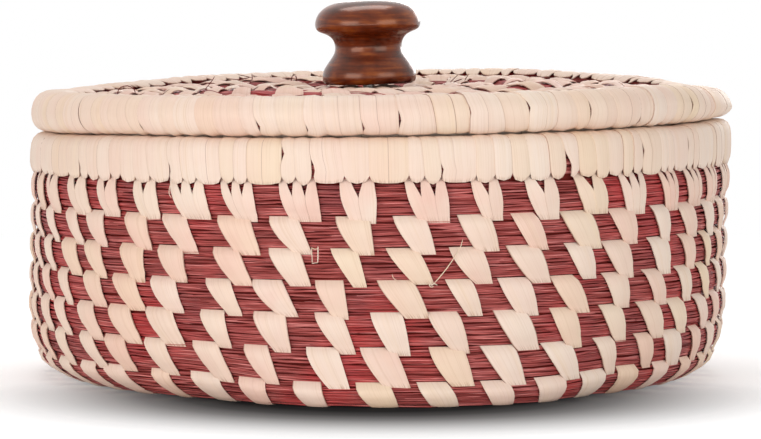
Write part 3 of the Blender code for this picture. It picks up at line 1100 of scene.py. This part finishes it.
def wrapRim(name, rim, body, nodes, seed, tips=()):
    chance = random.Random(seed)
    edges = rimEdges(rim, tips, chance)
    count = len(edges) - 1
    reach = rimReach(rim)
    leans = [chance.uniform(*rim["lean"]) * mm / reach for edge in range(count)]
    slits = {}
    for degrees, *slit in rim["slits"]:
        wanted = math.radians(270 + degrees)
        away = [abs(math.remainder(edge - wanted, fullTurn)) for edge in edges[:count]]
        slits[away.index(min(away))] = slit
    pieces = []
    for number in range(count):
        left, right = edges[number], edges[number + 1]
        width = (right - left) * reach
        group = {
            "left": left,
            "right": right,
            "leanLeft": leans[number],
            "leanRight": leans[(number + 1) % count],
            "pinch": min(rim["notch"] * chance.uniform(0.5, 1.25), width * 0.3) / reach,
            "slit": slits.get(number),
            "shifts": [rim["shift"] * chance.uniform(-0.2, 1.0) for end in range(2)],
            "crown": chance.uniform(0.1, 0.4),
            "level": chance.uniform(-0.1, 0.05) * mm,
        }
        parts = min(2, max(1, round(width / wrap["stripWidth"])))
        cuts = [0.0] + [(part + chance.uniform(-0.25, 0.25)) / parts for part in range(1, parts)] + [1.0]
        tint = chance.uniform(0.1, 0.6) if chance.random() < 0.86 else chance.uniform(0.64, 0.74)
        stain = chance.uniform(*rim["stain"])
        for part in range(parts):
            seam = (0.05 + 0.45 * chance.random() ** 2.5) * mm if part == 0 else 0.05 * mm
            place = partial(rimPlace, rim, group, cuts[part], cuts[part + 1], seam)
            own = tint + chance.uniform(-0.05, 0.05)
            pieces.append(bend(rimStripModel, f"{name}{number}Part{part}", place, own, stain))
    finishPiece(joinPieces(name, pieces), leafFinish, body, nodes)


stripNodes, lidStripNodes = (
    [f"{stem}_{number:02d}" for number in range(1, 17)] for stem in ("rim_strip", "lid_rim_strip")
)
wrapRim("basketRimWrap", basketRim, "basket", stripNodes, 61, fanTips)
wrapRim("lidRimWrap", lidRim, "lid", lidStripNodes, 62)
wrapRim("locatingRingWrap", locatingRing, "lid", ["lid_locating_ring"], 63)


def layRim(name, rim, width, height, fullness, body, nodes, seed):
    path = partial(alongRing, rim["radius"], rim["height"])
    layStrands(name + "Fibre", path, 1, ovalPlaces(width, height, fullness), 96, seed, body, nodes)
    layCore(name + "Core", path, 1, width - 3.2 * mm, height - 3.2 * mm, body)


layRim("basketRim", basketRim, 11.4 * mm, 15.2 * mm, 3.2, "basket", ["rim_core"], 71)
layRim("lidRim", lidRim, 12.8 * mm, 12.8 * mm, 2.1, "lid", ["lid_rim_core"], 72)
layRim("locatingRing", locatingRing, 6.4 * mm, 7.6 * mm, 2.4, "lid", [], 73)
# fibre between each rim and its coil, so that no light comes through the notches; its dark colour is partly
# painted shade in them
fillerPath = partial(alongRing, basketRim["radius"], 86.5 * mm)
layCore("basketRimFiller", fillerPath, 1, 6.5 * mm, 6.0 * mm, "basket")
layCore("lidRimFiller", partial(alongRing, 127.6 * mm, 109.6 * mm), 1, 9.4 * mm, 6.2 * mm, "lid")

# the start of the base: a small knot of leaf, wrapped over its middle
baseKnot = {
    **lidRim,
    "radius": 0.0,
    "height": 5.3 * mm,
    "groupWidth": 0.0,
    "notch": 0.0,
    "pillow": 0.0,
    "corner": 0.0,
    "shift": 0.0,
    "lean": (0.0, 1.5),
    "slits": (),
    "strips": 9,
    "section": (
        (0.4, -4.6), (2.4, -4.5), (4.5, -3.8), (5.6, -1.8), (5.8, 0.5), (5.4, 2.8), (4.2, 4.4),
        (2.3, 5.1), (0.4, 5.3),
    ),
}
knotTips = [number * fullTurn / baseKnot["strips"] for number in range(baseKnot["strips"])]
wrapRim("baseKnotWrap", baseKnot, "basket", ["base_knot"], 64, knotTips)
for model in (stitchModel, fanModel, rimStripModel):
    bpy.data.objects.remove(model)
print("rims wrapped")

# loose fibres: over the wall and the lid at random, and those that the photograph shows one by one
loose = {"wall": 300, "lid": 80, "thickness": 0.38 * mm, "hairThickness": 0.45 * mm, "rings": 10}
hairModel = modelStrand("hairModel", loose["rings"], 3, 0.25)


def hairPlace(points, radius, along, across, lift):
    middle = smoothThrough(points, along)
    run = smoothThrough(points, along + 0.03) - smoothThrough(points, along - 0.03)
    run /= np.linalg.norm(run, axis=1)[:, None]
    side = np.cross((0.2, 0.9, 0.4), run)
    side /= np.linalg.norm(side, axis=1)[:, None]
    taper = np.clip(np.minimum(along, 1 - along) * 8, 0.3, 1)[:, None]
    return middle + (side * across[:, None] + np.cross(run, side) * lift[:, None]) * radius * taper


def layHairs(name, curves, thickness, finish, body, chance):
    pieces = []
    for number, points in enumerate(curves):
        place = partial(hairPlace, points, thickness / 2 * chance.uniform(0.7, 1.2))
        pieces.append(bend(hairModel, f"{name}{number}", place, chance.random()))
    finishPiece(joinPieces(name, pieces), finish, body)


# five points along a row for each loose fibre
curveShares = [step / 4 for step in range(5)]


def looseOnWall(count, chance):
    curves = []
    for number in range(count):
        turns = chance.uniform(0.3, 7.2)
        length = chance.uniform(9, 42) * mm / (fullTurn * wall["radius"])
        down = chance.uniform(0.12, 0.88) * wall["rowHeight"]
        slope = chance.uniform(-2.2, 2.2) * mm
        points = []
        for share in curveShares:
            lift = 0.12 * mm * (math.sin(share * math.pi) - 1) + chance.uniform(0, 0.1) * mm
            drop = down + slope * (share - 0.5) + chance.uniform(-0.3, 0.3) * mm
            drop = min(max(drop, 0.8 * mm), 11.2 * mm)
            points.append(onWall(np.array([turns + length * share]), 0.0, drop, lift)[0])
        curves.append(points)
    return curves


def looseOnLid(count, chance):
    pitch = (lid["outer"] - lid["inner"]) / lid["rows"]
    curves = []
    for number in range(count):
        turns = math.sqrt(chance.uniform(4.0, 100.0))
        length = chance.uniform(6, 24) * mm / (turns * pitch * fullTurn)
        down = chance.uniform(0.15, 0.85) * pitch
        slope = chance.uniform(-3, 3) * mm
        high = chance.uniform(1.0, 2.6) * mm if chance.random() < 0.25 else 0.3 * mm
        points = []
        for share in curveShares:
            drop = down + slope * (share - 0.5)
            lift = high * math.sin(share * math.pi)
            points.append(onDisc(lid, np.array([turns + length * share]), 0.0, drop, lift)[0])
        curves.append(points)
    return curves


chance = random.Random(81)
curves = looseOnWall(loose["wall"], chance)
layHairs("wallLooseFibres", curves, loose["thickness"], fibreFinish, "basket", chance)
lidHairs = (
    (
        (-100.7, -90, 115.4), (-99.8, -89.5, 117.8), (-96.8, -89, 118.7), (-94.2, -89, 117.4),
        (-93.8, -89.5, 115.6),
    ),
    ((-69.8, -28, 114.6), (-68.5, -22, 116.2), (-67.2, -16, 118.0), (-66.2, -12, 119.6)),
    ((-70.5, -20, 116.6), (-68.0, -20, 117.3), (-65.8, -19, 117.0)),
    ((-63.7, 60, 116.2), (-58.5, 58, 115.9), (-54.0, 60, 116.8)),
    ((-59.5, 62, 117.8), (-56.0, 60, 117.2), (-53.3, 60, 116.5)),
    ((-53.3, 60, 118.2), (-53.0, 50, 116.4), (-53.8, 30, 114.8)),
    ((-36.5, 30, 115.2), (-36.4, 30, 117.0), (-36.0, 30, 118.6)),
    ((-34.6, 34, 115.2), (-34.4, 34, 117.0), (-34.7, 34, 118.3)),
    ((27.6, 25, 115.0), (29.2, 24, 116.8), (31.8, 24, 119.3)),
    ((28.4, 27, 115.0), (30.6, 25, 116.4), (33.4, 24, 117.4)),
    ((34.2, 40, 115.2), (35.1, 40, 117.0), (36.2, 40, 118.8)),
)
curves = looseOnLid(loose["lid"], chance)
layHairs("lidLooseFibres", curves, loose["thickness"], fibreFinish, "lid", chance)
curves = [np.array(hair) * mm for hair in lidHairs]
layHairs("lidHairs", curves, loose["hairThickness"], coreFinish, "lid", chance)

# pale threads on the front of the wall, as x, height and lift in mm
paleHairs = (
    ((-25.6, 60.4, 0.6), (-25.4, 57.2, 0.8), (-25.3, 54.2, 0.8)),
    ((-25.5, 54.3, 0.8), (-24.4, 54.5, 0.9), (-23.2, 54.6, 0.8)),
    ((-23.3, 54.5, 0.8), (-23.2, 57.6, 0.8), (-23.2, 60.8, 0.6)),
    ((-25.7, 60.2, 0.8), (-24.4, 59.7, 0.9), (-23.1, 60.0, 0.8)),
    ((30.8, 63.4, 0.9), (29.8, 60.0, 1.0), (26.1, 54.2, 1.0), (22.7, 49.8, 0.9), (19.8, 46.6, 0.8)),
    ((19.9, 46.9, 0.6), (18.9, 47.2, 1.2), (18.4, 46.2, 1.3), (19.2, 45.6, 1.2), (20.2, 46.0, 0.8)),
    ((21.4, 46.2, 0.7), (20.2, 46.9, 1.2), (19.2, 46.3, 1.3), (18.6, 46.8, 0.8)),
    ((4.4, 50.6, 0.9), (5.2, 48.8, 1.2), (7.4, 47.6, 0.9)),
    ((-78.2, 84.4, 0.9), (-79.4, 81.6, 1.6), (-79.6, 79.0, 1.8), (-78.8, 77.4, 1.2)),
)


def onFront(x, height, lift):
    radius = wallRadius(height) + wall["thickness"] / 2 + lift
    return (x, -math.sqrt(radius ** 2 - x ** 2), height)


curves = [[onFront(*(value * mm for value in point)) for point in hair] for hair in paleHairs]
layHairs("paleThreads", curves, loose["hairThickness"], leafFinish, "basket", chance)
bpy.data.objects.remove(hairModel)
print("loose fibres laid")

# the knob: a disc drawn up ring by ring through its outline, as shares of its radius and height
knob = {
    "radius": 21.25 * mm,
    "height": 34.1 * mm,
    "bottom": 116.2 * mm,
    "left": 4.3 * mm,
    "tilt": 0.033,
    "sides": 64,
    "outline": (
        (0.80, 0.0), (0.865, 0.015), (0.89, 0.07), (0.885, 0.14), (0.845, 0.2), (0.768, 0.265),
        (0.697, 0.325), (0.645, 0.375), (0.628, 0.43), (0.635, 0.48), (0.662, 0.53), (0.72, 0.575),
        (0.81, 0.605), (0.91, 0.625), (0.972, 0.65), (0.998, 0.69), (1.0, 0.73), (0.985, 0.775),
        (0.95, 0.825), (0.895, 0.87), (0.80, 0.92), (0.62, 0.965), (0.40, 0.99), (0.18, 0.999),
    ),
}


def modelKnob():
    outline = knob["outline"]
    circle = {"vertices": knob["sides"], "radius": outline[0][0] * knob["radius"], "fill_type": "NGON"}
    piece = addShape("knobWood", bpy.ops.mesh.primitive_circle_add, **circle)
    editAll()
    for (radius, height), (nextRadius, nextHeight) in zip(outline, outline[1:]):
        rise = (nextHeight - height) * knob["height"]
        bpy.ops.mesh.extrude_region_move(TRANSFORM_OT_translate={"value": (0, 0, rise)})
        ratio = nextRadius / radius
        bpy.ops.transform.resize(value=(ratio, ratio, 1), center_override=(0, 0, nextHeight * knob["height"]))
    bpy.ops.mesh.select_all(action="SELECT")
    bpy.ops.transform.rotate(value=knob["tilt"], orient_axis="Y", center_override=(0, 0, 0))
    bpy.ops.transform.translate(value=(-knob["left"], 0, knob["bottom"]))
    closeMesh()
    applyModifier(piece, "SUBSURF", levels=1, render_levels=1)
    bpy.ops.object.shade_smooth_by_angle(angle=math.radians(50))
    return piece


finishPiece(modelKnob(), woodFinish, "lid", ["knob"])
for node in ("knob_washer", "knob_screw"):
    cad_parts[node].data.materials.clear()
    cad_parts[node].data.materials.append(steelMaterial)
print("knob turned")

view = {
    "place": (0.0, -1.828, 0.1836),
    "down": 0.06666,
    "roll": -0.001,
    "lens": 215.0,
}
cameraData = bpy.data.cameras.new("camera")
cameraData.lens = view["lens"]
cameraData.sensor_width = 36
camera = bpy.data.objects.new("camera", cameraData)
camera.location = view["place"]
camera.rotation_euler = (math.pi / 2 - view["down"], view["roll"], 0)
bpy.context.scene.collection.objects.link(camera)
bpy.context.scene.camera = camera

# the floor is white to the camera but for a painted shadow under the basket, on top of its real shadow, which
# fades from a place in front of its middle
floorLook = {
    "size": 12.0,
    "paintedShadowMiddle": (0.0, -0.09, 0.0),
    "paintedShadowWidth": 1.06,
    "behind": 1.6,
    "lift": 0.34,
    "paintedShadowFade": (
        (0.0, 0.02), (0.058, 0.022), (0.0725, 0.08), (0.0875, 0.22), (0.1025, 0.44), (0.1175, 0.66),
        (0.1325, 0.84), (0.15, 0.98), (0.17, 1.0),
    ),
}


# 1 for the rays that see the background: from the camera, off gloss and through glass
def throughRays(tree):
    path = addNode(tree, "LightPath", {})
    seen = calculate(tree, "MAXIMUM", path.outputs["Is Camera Ray"], path.outputs["Is Glossy Ray"])
    return calculate(tree, "MAXIMUM", seen, path.outputs["Is Transmission Ray"])


def paleFloor():
    floor = addShape("floor", bpy.ops.mesh.primitive_plane_add, size=floorLook["size"])
    material, tree, shader = startMaterial("paleFloor")
    seen = throughRays(tree)
    place = objectPlace(tree)
    # painted shadow: to camera rays the floor goes dark near the basket, by its distance from a place in
    # front of it, stretched behind
    parts = separate(tree, vectorMath(tree, "SUBTRACT", place, floorLook["paintedShadowMiddle"])[0])
    aside = calculate(tree, "DIVIDE", parts[0], floorLook["paintedShadowWidth"])
    back = calculate(tree, "MAXIMUM", parts[1], multiply(tree, parts[1], floorLook["behind"]))
    away = vectorMath(tree, "LENGTH", combine(tree, aside, back))["Value"]
    reach = floorLook["paintedShadowFade"][-1][0]
    stops = [(distance / reach, (level, level, level, 1.0)) for distance, level in floorLook["paintedShadowFade"]]
    dark = addRamp(tree, calculate(tree, "DIVIDE", away, reach, clamp=True), stops)
    dark = mixColours(tree, seen, white, dark)
    colour = mixColours(tree, 1.0, (0.85, 0.85, 0.85, 1), dark, "MULTIPLY")
    setInputs(tree, shader, {"Base Color": colour, "Roughness": 0.9, "Specular IOR Level": 0.0})
    lift = addNode(tree, "Emission", {"Color": dark, "Strength": multiply(tree, seen, floorLook["lift"])})
    near = addNode(tree, "AddShader", {0: shader.outputs[0], 1: lift.outputs[0]})
    bright = addNode(tree, "Emission", {"Color": white, "Strength": 1.0})
    distance = vectorMath(tree, "LENGTH", place)["Value"]
    far = multiply(tree, spread(tree, distance, 0.32, 0.8, 0.0, 1.0), seen)
    both = addNode(tree, "MixShader", {0: far, 1: near.outputs[0], 2: bright.outputs[0]})
    setInputs(tree, tree.nodes["Material Output"], {"Surface": both.outputs[0]})
    floor.data.materials.append(material)


paleFloor()


def addLamp(name, place, target, size, energy, colour=(1, 1, 1)):
    data = bpy.data.lights.new(name, "AREA")
    data.shape = "RECTANGLE"
    data.size, data.size_y = size
    data.energy = energy
    data.color = colour
    lamp = bpy.data.objects.new(name, data)
    lamp.location = place
    bpy.context.scene.collection.objects.link(lamp)
    direction = Vector(target) - Vector(place)
    lamp.rotation_euler = direction.to_track_quat("-Z", "Y").to_euler()


addLamp("leftLight", (-1.35, -1.55, 0.5), (0, 0, 0.06), (1.5, 1.05), 19)
addLamp("rightLight", (1.35, -1.45, 0.5), (0, 0, 0.06), (1.5, 1.05), 14.1, (0.92, 0.98, 1.0))
addLamp("lowLight", (-0.4, -2.15, 0.03), (0, 0, 0.0), (3.2, 0.25), 11.8)
addLamp("overheadLight", (-0.1, 0.6, 1.5), (0, 0, 0), (1.1, 0.7), 10)
addLamp("backFill", (0.6, 2.2, 0.5), (0, 0, 0.06), (1.5, 0.7), 14)

world = bpy.data.worlds.new("studio")
bpy.context.scene.world = world
world.use_nodes = True
strength = spread(world.node_tree, throughRays(world.node_tree), 0.0, 1.0, 0.36, 1.0)
setInputs(world.node_tree, world.node_tree.nodes["Background"], {"Color": white, "Strength": strength})
bpy.context.scene.view_settings.view_transform = "Standard"
print("camera, floor and light placed")
